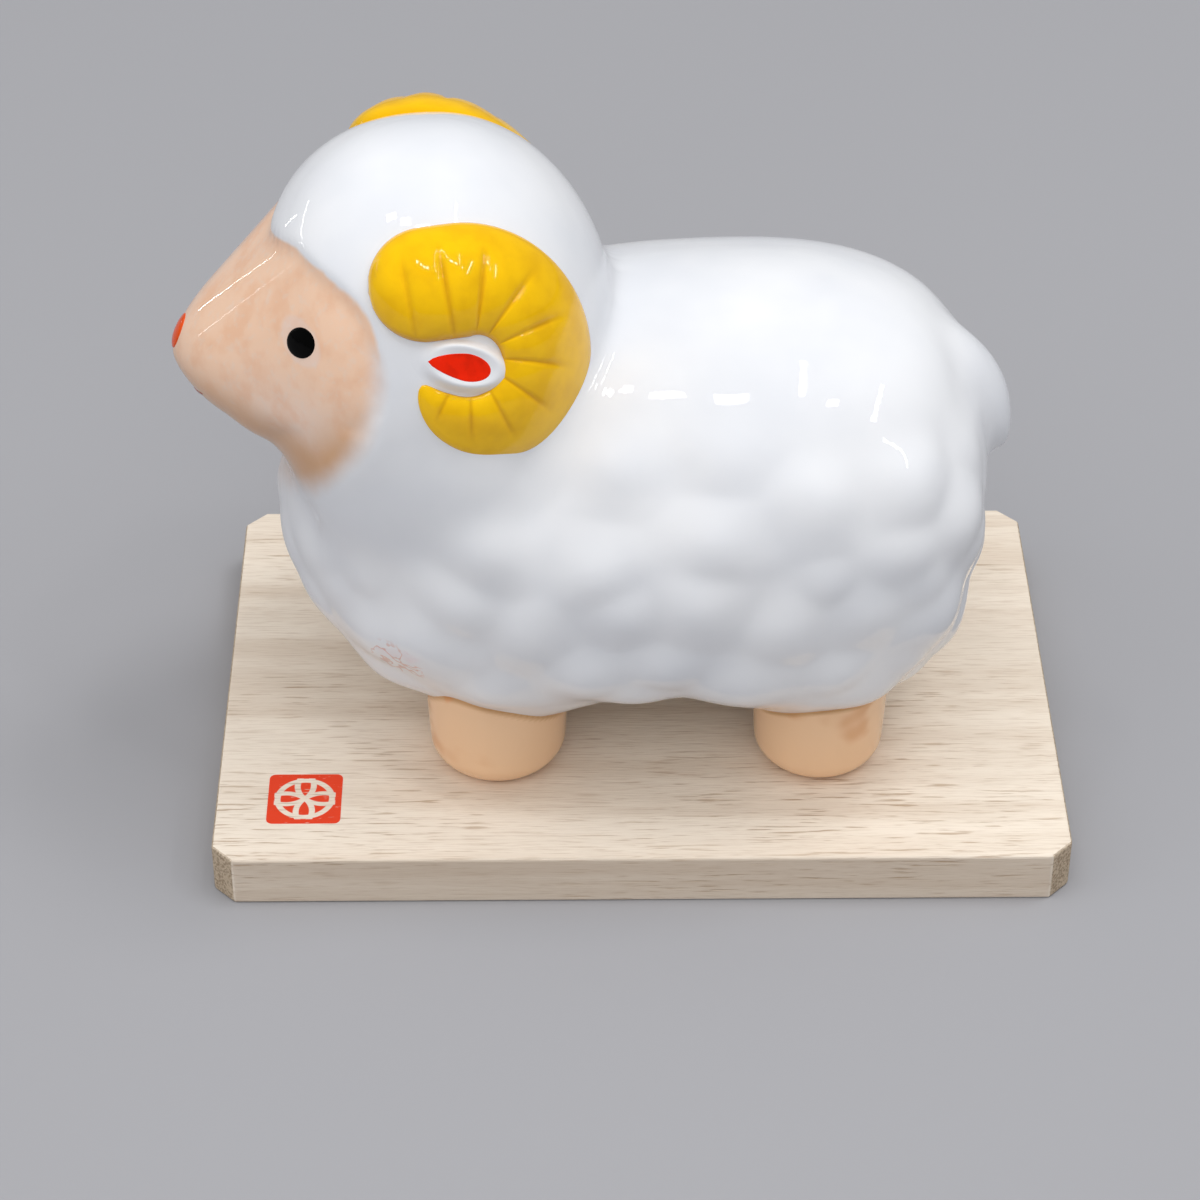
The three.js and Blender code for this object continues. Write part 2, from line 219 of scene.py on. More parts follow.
TAIL_RISE = 20
TAIL_LEAN = 60
TAIL_DROP = Plump((0, 0, 0), 12.5, 12.5, 6.5, 2.9, 2.9)
TAIL_DRAPE_RADIUS = 26
TAIL_SEAT_DEPTH = 3.0


def smooth_share(value, low, high):
    """0 below low and 1 above high, with a soft turn between them; low may be the greater."""
    share = np.clip((value - low) / (high - low), 0, 1)
    return share * share * (3 - 2 * share)


def soft_greater(first, second, width):
    """The greater of two values, rounded where they are within a width of each other."""
    near = np.maximum(width - np.abs(first - second), 0) / width
    return np.maximum(first, second) + near**3 * width / 6


def face_border(points):
    """How far outside the bare face each point lies, seen from the side."""
    sideways = np.minimum(np.abs(points[:, 1]), BROW_HALF_WIDTH)
    brow = points[:, 2] - BROW_HEIGHT - BROW_SLOPE * sideways
    cheek = points[:, 0] - CHEEK_EDGE
    jaw = cheek * JAW_OUTWARD.x + (points[:, 2] - CHEEK_FOOT) * JAW_OUTWARD.y
    return soft_greater(soft_greater(brow, cheek, BROW_ROUND), jaw, CHEEK_ROUND)


def direction(turn, rise):
    """A direction on the sheep's left side, from a turn towards its rear and a rise, in degrees."""
    flat = math.cos(math.radians(rise))
    turn = math.radians(turn)
    return np.array((flat * math.sin(turn), -flat * math.cos(turn), math.sin(math.radians(rise))))


def skin_point(form, turn, rise):
    """The point of a form's skin in one direction."""
    return form.skin(direction(turn, rise)[None])[0]


HALVINGS = 26


def skin_reach(form, start, heading, near, far):
    """How far from some starts a form's skin lies along a heading, between two limits."""
    inside, outside = np.full(len(start), near), np.full(len(start), far)
    for _ in range(HALVINGS):
        halfway = (inside + outside) / 2
        within = form.fullness(start + halfway[:, None] * heading) < 1
        inside, outside = np.where(within, halfway, inside), np.where(within, outside, halfway)
    return outside[:, None]


TAIL_ROOT = skin_point(FLEECE, 90, TAIL_RISE)


# Work on meshes


def positions(shape):
    return np.array([vertex.co for vertex in shape.verts])


def put(verts, places):
    """Moves some vertices, each to its place."""
    for vertex, place in zip(verts, places):
        vertex.co = place


def reshape(shape, place):
    """Moves every vertex of a shape to where a function puts its point."""
    put(shape.verts, place(positions(shape)))


def ball(form, fineness=6, bend=None):
    """A plump form, closed and of even faces, which a function may bend."""
    shape = bmesh.new()
    bmesh.ops.create_icosphere(shape, subdivisions=fineness, radius=1)
    reshape(shape, form.skin)
    if bend:
        reshape(shape, bend)
    return shape


def globe(columns, rows):
    """A unit ball with its poles on Z, whose rows become the rings of a piece, and its points."""
    shape = bmesh.new()
    bmesh.ops.create_uvsphere(shape, u_segments=columns, v_segments=rows, radius=1)
    return shape, positions(shape)


def mark(shape, name, values):
    """Keeps a number for each vertex, which a finish reads by its name."""
    layer = shape.verts.layers.float.new(name)
    for vertex, value in zip(shape.verts, values):
        vertex[layer] = value


def face_outward(shape):
    """Turns the faces of a closed shape outward."""
    bmesh.ops.recalc_face_normals(shape, faces=shape.faces)
    if shape.calc_volume(signed=True) < 0:
        bmesh.ops.reverse_faces(shape, faces=shape.faces)
    return shape


def mirrored(shape):
    """The same shape for the sheep's right side."""
    copy = shape.copy()
    bmesh.ops.scale(copy, vec=(1, -1, 1), verts=copy.verts)
    return face_outward(copy)


def new_object(name, shape):
    """An object made of a shape, which is used up."""
    mesh = bpy.data.meshes.new(name)
    shape.to_mesh(mesh)
    shape.free()
    piece = bpy.data.objects.new(name, mesh)
    bpy.context.scene.collection.objects.link(piece)
    return piece


def apply_modifiers(piece):
    """Makes a piece's modifiers part of its mesh."""
    depsgraph = bpy.context.evaluated_depsgraph_get()
    mesh = bpy.data.meshes.new_from_object(piece.evaluated_get(depsgraph))
    rough = piece.data
    piece.modifiers.clear()
    piece.data = mesh
    bpy.data.meshes.remove(rough)


def hand_over(piece, body, slot, look, *nodes):
    """Gives a finished piece its look and its body, and hides the nodes that it stands for. The
    slot is not used.
    """
    piece.data.materials.clear()
    piece.data.materials.append(look)
    piece.data.shade_smooth()
    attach(piece, body)
    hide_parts(*nodes)


def stand_in(node, shape, body, slot, look):
    """Hands over the finished piece that takes the place of one node."""
    piece = new_object(f"{node}_finished", shape)
    hand_over(piece, body, slot, look, node)
    return piece


def in_frame(shape):
    """Puts a shape of the figure's millimetres in the frame."""
    bmesh.ops.transform(shape, matrix=FIGURE, verts=shape.verts)
    return shape


def skin_tree(*nodes):
    """The finished skin of some nodes, in the figure's millimetres, for pieces that lie on it."""
    joined = bmesh.new()
    for node in nodes:
        joined.from_mesh(bpy.data.objects[f"{node}_finished"].data)
    bmesh.ops.transform(joined, matrix=FIGURE.inverted(), verts=joined.verts)
    tree = BVHTree.FromBMesh(joined)
    joined.free()
    return tree


# Finishes

# The face's paint: heights and places between which its colours turn, and its fine marks' colours
CRISP_BROW = (72, 76.5)
LOW_CHEEK = (70, 58)
REAR_CHEEK = (-58, -46)
# The jaw band and the chin go tan: partly sprayed colour, partly painted shade on the face's
# underside
JAW_BAND_AND_SHADE = (-8, -0.5)
CHIN_AND_SHADE = (62, 54)
EYE_HALO = (3.0, 2.4)
SPRAY_UNEVEN = 1.6
BLOTCHES, FLECKS, HALO = paint(0xF0B48A), paint(0xF3DCCD), paint(0xEFE0DC)
# The small stain on the chest
STAIN = paint(0xDDA898)
STAIN_MIDDLE = Vector((-33.8, -25.4, 23.6))
STAIN_REACH = (5, 3)
# End grain of the board
END_WOOD, END_PORES = paint(0xC9B498), paint(0x8C7355)
# Parts of the seal, as shares of its side: circles, the lines along them, and the ink's border
SEAL_CIRCLE = 0.37
SEAL_PETAL_SHIFT = 0.26
SEAL_LINE = (0.046, 0.034)
SEAL_PRINT = (0.42, 0.41)


class Finish:
    """A material, with short names for the nodes that its pattern needs."""

    def __init__(self, name, roughness=0.08):
        self.material = bpy.data.materials.new(name)
        self.material.use_nodes = True
        self.tree = self.material.node_tree
        self.shader = self.tree.nodes["Principled BSDF"]
        self.shader.inputs["Roughness"].default_value = roughness
        self.place = self.tree.nodes.new("ShaderNodeTexCoord").outputs["Object"]

    def node(self, kind, settings, *values):
        """Adds a node and feeds its first inputs; None leaves an input as it is."""
        node = self.tree.nodes.new("ShaderNode" + kind)
        for key, value in settings.items():
            setattr(node, key, value)
        for socket, value in zip(node.inputs, values):
            self.feed(socket, value)
        return node

    def feed(self, socket, value):
        if isinstance(value, bpy.types.NodeSocket):
            self.tree.links.new(value, socket)
        elif value is not None:
            socket.default_value = value

    def calculate(self, operation, *values):
        return self.node("Math", {"operation": operation}, *values).outputs[0]

    def times(self, first, second):
        return self.calculate("MULTIPLY", first, second)

    def minus(self, first, second):
        return self.calculate("SUBTRACT", first, second)

    def axes(self):
        return self.node("SeparateXYZ", {}, self.place).outputs

    def stretched(self, scale):
        """The place on the object, with each axis times a scale."""
        return self.node("Mapping", {}, self.place, None, None, scale).outputs[0]

    def noise(self, scale, detail=2.0, place=None):
        """Soft noise with so many waves to the metre."""
        return self.node("TexNoise", {}, place or self.place, None, scale, detail).outputs[0]

    def between(self, value, low, high, most=1.0):
        """0 at low and most at high, with a soft turn between them."""
        soft = {"interpolation_type": "SMOOTHSTEP"}
        return self.node("MapRange", soft, value, low, high, 0, most).outputs[0]

    def fade(self, value, span, unit=MM, most=1.0):
        """The same between two values that are written in a unit."""
        return self.between(value, span[0] * unit, span[1] * unit, most)

    def away(self, first, second):
        """How far away something is that lies so far off in two directions."""
        squares = [self.times(off, off) for off in (first, second)]
        return self.calculate("SQRT", self.calculate("ADD", *squares))

    def kept(self, name):
        """A number that was kept for each vertex."""
        return self.node("Attribute", {"attribute_name": name}).outputs["Fac"]

    def mix(self, share, first, second):
        node = self.node("Mix", {"data_type": "RGBA"}, share)
        for socket, value in zip(node.inputs[6:8], (first, second)):
            self.feed(socket, value if isinstance(value, bpy.types.NodeSocket) else (*value, 1))
        return node.outputs[2]

    def relief(self, height, depth, strength=1.0):
        node = self.node("Bump", {}, strength, depth)
        self.tree.links.new(height, node.inputs["Height"])
        self.tree.links.new(node.outputs[0], self.shader.inputs["Normal"])

    def coloured(self, value):
        self.feed(self.shader.inputs["Base Color"], value)
        return self.material

    def glazed(self):
        """The slow waves and pinholes of fired glaze."""
        self.relief(self.noise(420, 2), 0.000012)
        patchy = self.node("MapRange", {}, self.noise(120, 3), 0, 1, 0.02, 0.05)
        self.feed(self.shader.inputs["Roughness"], patchy.outputs[0])


def glazed_skin():
    """White glaze, with the face sprayed peach: crisp under the brow and soft on the cheek."""
    scene = bpy.context.scene
    wool, face = scene.sheep_wool, scene.sheep_face
    skin = Finish("glazed_skin")
    x, y, z = skin.axes()
    height = skin.minus(z, BOARD_HIGH.z)
    brow = skin.minus(height, BROW_HEIGHT * MM)
    sideways = skin.calculate("MINIMUM", skin.calculate("ABSOLUTE", y), BROW_HALF_WIDTH * MM)
    brow = skin.calculate("MULTIPLY_ADD", sideways, -BROW_SLOPE, brow)
    cheek = skin.minus(x, CHEEK_EDGE * MM)
    slant = skin.times(cheek, JAW_OUTWARD.x)
    drop = skin.minus(height, CHEEK_FOOT * MM)
    jaw = skin.calculate("MULTIPLY_ADD", drop, JAW_OUTWARD.y, slant)
    corner = skin.calculate("SMOOTH_MAX", brow, cheek, BROW_ROUND * MM)
    border = skin.calculate("SMOOTH_MAX", corner, jaw, CHEEK_ROUND * MM)
    uneven = skin.minus(skin.noise(160, 3), 0.5)
    border = skin.calculate("MULTIPLY_ADD", uneven, SPRAY_UNEVEN * MM, border)
    crisp = skin.fade(border, (0.45, -0.25))
    soft = skin.fade(border, (0.6, -1), face.spray_edge)
    sprayed = skin.node("Mix", {}, skin.fade(height, CRISP_BROW), None, soft, crisp).outputs[0]

    low_cheek = skin.fade(height, LOW_CHEEK)
    pale = skin.times(low_cheek, skin.fade(x, REAR_CHEEK))
    peach = skin.mix(pale, face.peach, face.pale)
    peach = skin.mix(skin.between(skin.noise(240, 4), 0.42, 0.68, 0.4), peach, BLOTCHES)
    peach = skin.mix(skin.between(skin.noise(900, 3), 0.5, 0.72, 0.35), peach, FLECKS)
    # Sprayed tan with painted shade: the jaw band and the face below the chin height go darker
    jaw_band_and_shade = skin.times(skin.fade(jaw, JAW_BAND_AND_SHADE), low_cheek)
    peach = skin.mix(skin.calculate("MAXIMUM", jaw_band_and_shade, skin.fade(height, CHIN_AND_SHADE)), peach, face.tan)
    from_eye = skin.away(skin.minus(x, EYE_X * MM), skin.minus(height, EYE_HEIGHT * MM))
    peach = skin.mix(skin.fade(from_eye, EYE_HALO, most=0.35), peach, HALO)

    white = skin.mix(skin.between(skin.noise(45, 3), 0.35, 0.7), wool.glaze, wool.glaze_shade)
    distance = {"operation": "DISTANCE"}
    from_stain = skin.node("VectorMath", distance, skin.place, FIGURE @ STAIN_MIDDLE)
    near_stain = skin.fade(from_stain.outputs["Value"], STAIN_REACH, most=0.75)
    swirl = skin.calculate("ABSOLUTE", skin.minus(skin.noise(330, 2), 0.5))
    hairlines = skin.between(swirl, 0.035, 0.008)
    white = skin.mix(skin.times(hairlines, near_stain), white, STAIN)
    skin.glazed()
    return skin.coloured(skin.mix(sprayed, white, peach))


def horn_glaze():
    """Amber glaze, thin on the swells and gathered darker in grooves; at the foot, pooled glaze and
    painted shade.
    """
    horns = bpy.context.scene.sheep_horns
    glaze = Finish("horn_glaze")
    glaze.shader.inputs["Specular IOR Level"].default_value = 0.45
    patches = glaze.between(glaze.noise(260, 3), 0.35, 0.7, 0.22)
    groove = glaze.times(glaze.kept("groove"), 0.45)
    # The foot is partly pooled glaze and partly painted shade where the horn meets the head
    foot = glaze.times(glaze.kept("foot"), 0.7)
    pooled_and_shaded = glaze.calculate("MAXIMUM", glaze.calculate("ADD", patches, groove), foot)
    glaze.glazed()
    return glaze.coloured(glaze.mix(pooled_and_shaded, horns.amber, horns.ochre))


def leg_glaze():
    """Peach spray with warmer spots, and a thin line of painted shade under the fleece."""
    legs = bpy.context.scene.sheep_legs
    glaze = Finish("leg_glaze")
    sprayed = glaze.mix(glaze.between(glaze.noise(110, 2), 0.56, 0.72, 0.6), legs.peach, legs.blush)
    sprayed = glaze.mix(glaze.times(glaze.kept("hem_shade"), 0.85), sprayed, legs.hem_shade)
    glaze.glazed()
    return glaze.coloured(sprayed)


def enamel(name, shade, gloss=0.25):
    """Thick glossy enamel, a little uneven where the brush left it."""
    coat = Finish(name)
    coat.shader.inputs["Specular IOR Level"].default_value = gloss
    dark = tuple(0.86 * share for share in shade)
    coat.relief(coat.noise(900, 2), 0.00004)
    return coat.coloured(coat.mix(coat.between(coat.noise(600, 3), 0.4, 0.7), shade, dark))


def wood_colour(wood):
    """The colour of pale wood with fine streaks along X and speckled end grain, and its relief."""
    board = bpy.context.scene.sheep_board
    bands = wood.noise(1, 4, wood.stretched((9, 160, 260)))
    fibres = wood.noise(1, 3, wood.stretched((260, 5200, 5200)))
    dashes = wood.noise(1, 3, wood.stretched((150, 2600, 2600)))
    patches = wood.between(wood.noise(1, 2, wood.stretched((22, 45, 120))), 0.36, 0.64, 0.75)
    spread = wood.calculate("ADD", patches, 0.25)
    streaks = wood.times(wood.between(dashes, 0.56, 0.7, 0.68), spread)
    normal = wood.node("NewGeometry", {}).outputs["Normal"]
    facing = wood.node("SeparateXYZ", {}, normal).outputs
    end_on, side_on = (wood.calculate("ABSOLUTE", facing[axis]) for axis in (0, 1))
    # Grain, and painted shade: the long sides that face front and back are darkened as if less
    # light falls on them
    grain_and_side_shade = (
        wood.between(bands, 0.4, 0.7, 0.22), wood.between(fibres, 0.45, 0.75, 0.2), streaks,
        wood.between(side_on, 0.9, 1, 0.22),
    )
    tone = board.wood
    for share in grain_and_side_shade:
        tone = wood.mix(share, tone, board.grain_and_shade)
    ends = wood.mix(wood.between(wood.noise(2600, 3), 0.38, 0.66), END_WOOD, END_PORES)
    tone = wood.mix(wood.between(end_on, 0.35, 0.6, 0.85), tone, ends)
    return tone, wood.minus(fibres, streaks)


def bare_wood():
    """Planed wood, whose grain can be felt."""
    wood = Finish("bare_wood", 0.7)
    tone, grain = wood_colour(wood)
    wood.relief(grain, 0.00012, 0.6)
    return wood.coloured(tone)


def printed_seal():
    """Red ink on the wood, which leaves a ring, a cross of petals and a border of bare wood."""
    board = bpy.context.scene.sheep_board
    seal = Finish("seal_ink", 0.55)
    tone, grain = wood_colour(seal)
    x, y, _ = seal.axes()
    across = seal.minus(x, SEAL_MIDDLE.x * MM)
    along = seal.minus(y, SEAL_MIDDLE.y * MM)

    def ring(right, up):
        """Bare line along a circle, whose middle lies off the seal's middle: 1 on the line."""
        off_middle = seal.away(
            seal.minus(across, right * SEAL_PETAL_SHIFT * board.seal_size),
            seal.minus(along, up * SEAL_PETAL_SHIFT * board.seal_size),
        )
        off_line = seal.minus(off_middle, SEAL_CIRCLE * board.seal_size)
        return seal.fade(seal.calculate("ABSOLUTE", off_line), SEAL_LINE, board.seal_size)

    bare = ring(0, 0)
    for right, up in ((-1, -1), (1, -1), (1, 1), (-1, 1)):
        bare = seal.calculate("MAXIMUM", bare, ring(right, up))
    sides = [seal.calculate("ABSOLUTE", off) for off in (across, along)]
    inside = seal.calculate("MAXIMUM", *sides)
    bare = seal.times(bare, seal.fade(inside, SEAL_PRINT, board.seal_size))
    worn = seal.between(seal.noise(1, 3, seal.stretched((500, 3000, 3000))), 0.66, 0.72, 0.6)
    seal.relief(grain, 0.0001, 0.4)
    return seal.coloured(seal.mix(seal.calculate("MAXIMUM", bare, worn), board.ink, tone))


# The casting: body, head, face and tail under one glaze

NODES_OF_CASTING = ("fleece_body", "head", "face", "tail")

# The slip at the sides of the neck: the heights that it covers on body and head, and where it ends
NECK_FILL_ON_BODY = (30, 47)
NECK_FILL_ON_HEAD = (49, 63)
NECK_FILL_FRONT = -44
NECK_FILL_REAR = -17
NECK_FILL_INSIDE = 16

# The fillets are stronger and reach further low down on the neck than at its top
NECK_FILLET_FADE = (72, 58)
NECK_FILLET_AT_TOP = 0.3
RUMP_FILLET = 0.8
RUMP_FILLET_REACH = 0.6
FILLET_PASSES = 200
EVENING_PASSES = 5


def arched_body():
    """The fleece body, whose belly arches up between the front and rear legs."""

    def arch(points):
        span = (points[:, 0] - BELLY_ARCH_MIDDLE) / BELLY_ARCH_HALF_SPAN
        low = (FLEECE.middle[2] - points[:, 2]) / FLEECE.down
        swell = np.cos(np.clip(span, -1, 1) * math.pi / 2) ** 2
        points[:, 2] += BELLY_ARCH * swell * np.maximum(low, 0)
        return points

    return ball(FLEECE, bend=arch)


def taut_hull(places):
    """The skin that would be stretched round some points."""
    skin = bmesh.new()
    for co in places:
        skin.verts.new(co)
    hull = bmesh.ops.convex_hull(skin, input=skin.verts)
    loose = [part for part in hull["geom_interior"] if isinstance(part, bmesh.types.BMVert)]
    bmesh.ops.delete(skin, geom=loose, context="VERTS")
    return skin


def stepped_head(step):
    """The head, set back by a step where the face is bare, and the muzzle's taut skin over it."""

    def set_back(points):
        depth = step * smooth_share(face_border(points), STEP_HALF_WIDTH, -STEP_HALF_WIDTH)
        outward = points - SKULL.middle
        outward /= np.linalg.norm(outward, axis=1)[:, None]
        return points - outward * depth[:, None]

    head = ball(SKULL, bend=set_back)
    cheeks = [v.co for v in head.verts if v.co.x < CHEEK_EDGE and v.co.z > TAUT_HEIGHT]
    cheeks = [co for co in cheeks if face_border(np.array([co]))[0] < -STEP_HALF_WIDTH]
    muzzle = ball(MUZZLE, 5)
    return head, taut_hull(cheeks + [v.co for v in muzzle.verts])


def neck_fill(body, head):
    """The slip that fills the crease at the sides of the neck, flush with the head and the body."""
    return taut_hull([
        vertex.co
        for shape, low, high in ((body, *NECK_FILL_ON_BODY), (head, *NECK_FILL_ON_HEAD))
        for vertex in shape.verts
        if low < vertex.co.z < high
        and NECK_FILL_FRONT < vertex.co.x < NECK_FILL_REAR
        and abs(vertex.co.y) > NECK_FILL_INSIDE
    ])


def draped_tail():
    """A drop that hangs down the rump."""
    lean = math.radians(TAIL_LEAN)
    down = np.array((math.cos(lean), 0, -math.sin(lean)))
    outward = np.array((math.sin(lean), 0, math.cos(lean)))
    axes = np.array((down, np.cross(outward, down), outward))

    def hang(points):
        points[:, 2] -= (points[:, 0] ** 2 + points[:, 1] ** 2) / (2 * TAIL_DRAPE_RADIUS)
        return TAIL_ROOT + points @ axes

    return ball(TAIL_DROP, 5, hang)


def skin_normals(mesh):
    return np.array([corner.vector for corner in mesh.vertex_normals])


def distances(tree, points):
    """How far each point lies from a shape's skin."""
    return np.array([tree.find_nearest(point)[3] for point in points])


# Lumps of wool on the flank: how far along and how high each lies, seen from the side
FLANK_LUMPS = (
    (9.8, 59), (21.7, 53.5), (-3, 58), (36.6, 52), (9.8, 48.5), (24, 43), (-7.3, 46), (35.5, 43.6),
    (-21, 45), (-15.4, 32.5), (-38.4, 37.5), (-26, 36.5), (-3, 38), (8.5, 38.5), (3.4, 29),
    (19.5, 33.5), (30, 33.5), (41, 33), (-29, 26.5), (-8, 24), (12.5, 23.5), (25, 25), (37, 23.5),
    (-19.5, 20.5), (-1, 19), (31, 17.5),
)
# Lumps on the chest and rump: the height of each row, and how far round from the chest, in degrees
END_LUMPS = (
    (38.5, (0, 15)), (31, (7, 22)), (25, (0, 15, 30)), (18, (8, 24)),
    (52.5, (142, 160, 178)), (45, (150, 169)), (38, (140, 159, 180)), (31, (148, 168)),
    (24.5, (142, 157, 178)), (18.5, (150, 168)),
)
LUMP_SPREAD = 4.2
LUMP_CRISPNESS = 3.7
LUMP_LEVEL = 0.6
LUMP_UNEVEN = 1.0
UNEVEN_SCALE = 0.47
LUMP_JITTER = 3.4
JITTER_SCALE = 0.31
LUMP_SEED = 7
LUMP_TOP_FADE = (64, 54)
LUMP_HEM_FADE = (9, 17)
LUMP_CHEST_FADE = (-52, -30)
LUMP_TAIL_FADE = (10, 17)
LUMP_HEAD_FADE = (1.02, 1.2)
LUMP_ON_CHEST = 0.5
WAVE_HEIGHT = 0.5
WAVE_LENGTH = 15.0


def flank_point(along, height):
    """The point of the fleece's left side that is seen from the side at one place."""
    middle = np.array([(along, 0, height)])
    left = np.array((0, -1, 0))
    return (middle + skin_reach(FLEECE, middle, left, 0, FLEECE.side) * left)[0]


def end_point(height, turn):
    """The point of the fleece at one height and turn."""
    heading = np.array((-math.cos(math.radians(turn)), -math.sin(math.radians(turn)), 0))
    reach = 1.0
    for _ in range(8):
        heading[2] = (height - FLEECE.middle[2]) / reach
        point = FLEECE.skin(heading[None])[0]
        reach = math.hypot(*(point - FLEECE.middle)[:2])
    return point


def lump_centres():
    """Middle, strength and spread of each lump of wool on the left half of the body."""
    noise.seed_set(LUMP_SEED)
    middles = [flank_point(*place) for place in FLANK_LUMPS]
    middles += [end_point(height, turn) for height, turns in END_LUMPS for turn in turns]
    for middle in middles:
        jitter = noise.noise_vector(Vector(middle) * JITTER_SCALE)
        uneven = LUMP_UNEVEN * noise.noise(Vector(middle) * UNEVEN_SCALE)
        yield middle + LUMP_JITTER * np.array(jitter), 1 + uneven, LUMP_SPREAD * (1 + 0.5 * uneven)


def with_lumps(points, normals, height):
    """Points moved out to the lumps of wool and in between them, on the lower part of the body."""
    left = points.copy()
    left[:, 1] = -np.abs(left[:, 1])
    rise = np.zeros(len(points))
    for centre, strength, spread in lump_centres():
        away = ((left - centre) ** 2).sum(axis=1)
        rise += (strength * np.exp(-away / (2 * spread**2))) ** LUMP_CRISPNESS
    rise **= 1 / LUMP_CRISPNESS
    fade = smooth_share(points[:, 2], *LUMP_TOP_FADE) * smooth_share(points[:, 2], *LUMP_HEM_FADE)
    fade *= smooth_share(SKULL.fullness(points), *LUMP_HEAD_FADE)
    fade *= LUMP_ON_CHEST + (1 - LUMP_ON_CHEST) * smooth_share(points[:, 0], *LUMP_CHEST_FADE)
    from_tail = np.linalg.norm(points - TAIL_ROOT + (0, 0, TAIL_DROP.rear / 2), axis=1)
    fade *= smooth_share(from_tail, *LUMP_TAIL_FADE)
    waves = np.array([
        noise.noise(place) + 0.5 * noise.noise(place * 2.1)
        for place in (Vector(point) / WAVE_LENGTH for point in points)
    ])
    lift = (height * (rise - LUMP_LEVEL) + WAVE_HEIGHT * waves) * fade
    return points + normals * lift[:, None]


def fused_casting(shapes, wool):
    """One even skin round some shapes, with fillets where they join."""
    joined = bmesh.new()
    for shape in (*shapes, neck_fill(*shapes[:2])):
        mesh = bpy.data.meshes.new("part")
        shape.to_mesh(mesh)
        joined.from_mesh(mesh)
        bpy.data.meshes.remove(mesh)
    casting = new_object("casting", joined)
    fuse = casting.modifiers.new("Fuse", "REMESH")
    fuse.mode = "VOXEL"
    fuse.voxel_size = wool.fineness / MM
    apply_modifiers(casting)

    places = [vertex.co for vertex in casting.data.vertices]
    body, head, muzzle, tail = (distances(BVHTree.FromBMesh(shape), places) for shape in shapes)
    reach = wool.neck_fillet / MM
    head = np.minimum(head, muzzle)
    low = smooth_share(np.array([place.z for place in places]), *NECK_FILLET_FADE)
    neck = 1 - np.maximum(body, head) / (reach * (1 + low))
    neck *= NECK_FILLET_AT_TOP + (1 - NECK_FILLET_AT_TOP) * low
    rump = (1 - np.maximum(body, tail) / (reach * RUMP_FILLET_REACH)) * RUMP_FILLET
    weights = np.clip(np.maximum(neck, rump), 0, 1)
    fillet = casting.vertex_groups.new(name="fillet")
    for index in np.nonzero(weights)[0]:
        fillet.add([int(index)], float(weights[index]), "REPLACE")
    fillets = casting.modifiers.new("Fillets", "SMOOTH")
    fillets.iterations, fillets.vertex_group = FILLET_PASSES, "fillet"
    casting.modifiers.new("Evening", "SMOOTH").iterations = EVENING_PASSES
    apply_modifiers(casting)
    return casting, body, head, tail


class SHEEP_OT_casting(bpy.types.Operator):
    """Builds the fleece body, head, face and tail under one continuous glaze"""

    bl_idname = "sheep.casting"
    bl_label = "Glazed Casting"

    def execute(self, context):
        wool = context.scene.sheep_wool
        step = context.scene.sheep_face.brow_step / MM
        shapes = [arched_body(), *stepped_head(step), draped_tail()]
        casting, body, head, tail = fused_casting(shapes, wool)
        mesh = casting.data
        points = np.array([vertex.co for vertex in mesh.vertices])
        put(mesh.vertices, with_lumps(points, skin_normals(mesh), wool.lump_height / MM))
        mesh.update()

        region = np.zeros(len(points), int)
        region[head < body] = NODES_OF_CASTING.index("head")
        region[(head < body) & (face_border(points) < 0)] = NODES_OF_CASTING.index("face")
        at_rump = points[:, 0] > TAIL_ROOT[0] - TAIL_DROP.rear
        region[(tail < body) & at_rump] = NODES_OF_CASTING.index("tail")
        look = glazed_skin()
        for number, node in enumerate(NODES_OF_CASTING):
            slot = "peach_glaze" if node == "face" else "white_glaze"
            shape = self.part(mesh, region, number)
            self.keep_normals(stand_in(node, in_frame(shape), "sheep", slot, look).data)
        bpy.data.objects.remove(casting)
        return {"FINISHED"}

    def part(self, mesh, region, number):
        """The faces of the casting that belong to one region, closed inside where it was cut."""
        shape = bmesh.new()
        shape.from_mesh(mesh)
        layer = shape.verts.layers.float_vector.new("glaze_normal")
        for vertex, normal in zip(shape.verts, skin_normals(mesh)):
            vertex[layer] = normal
        elsewhere = [
            face for face in shape.faces
            if np.bincount([region[vertex.index] for vertex in face.verts]).argmax() != number
        ]
        bmesh.ops.delete(shape, geom=elsewhere, context="FACES")
        rims = [edge for edge in shape.edges if edge.is_boundary]
        drawn = bmesh.ops.extrude_edge_only(shape, edges=rims)["geom"]
        ends = [part for part in drawn if isinstance(part, bmesh.types.BMVert)]
        at_tail = [vertex for vertex in ends if vertex.co.x > 0]
        at_head = [vertex for vertex in ends if vertex.co.x <= 0]
        seat = TAIL_ROOT - (TAIL_SEAT_DEPTH, 0, 0)
        for group, inside in ((at_tail, seat), (at_head, SKULL.middle)):
            if group:
                bmesh.ops.pointmerge(shape, verts=group, merge_co=inside)
        return face_outward(shape)

    def keep_normals(self, mesh):
        """The parts keep the whole skin's normals, so that no seam shows between them."""
        vectors = [kept.vector for kept in mesh.attributes["glaze_normal"].data]
        mesh.normals_split_custom_set_from_vertices(vectors)
        mesh.attributes.remove(mesh.attributes["glaze_normal"])


# Horns and ears, laid on the round of the head

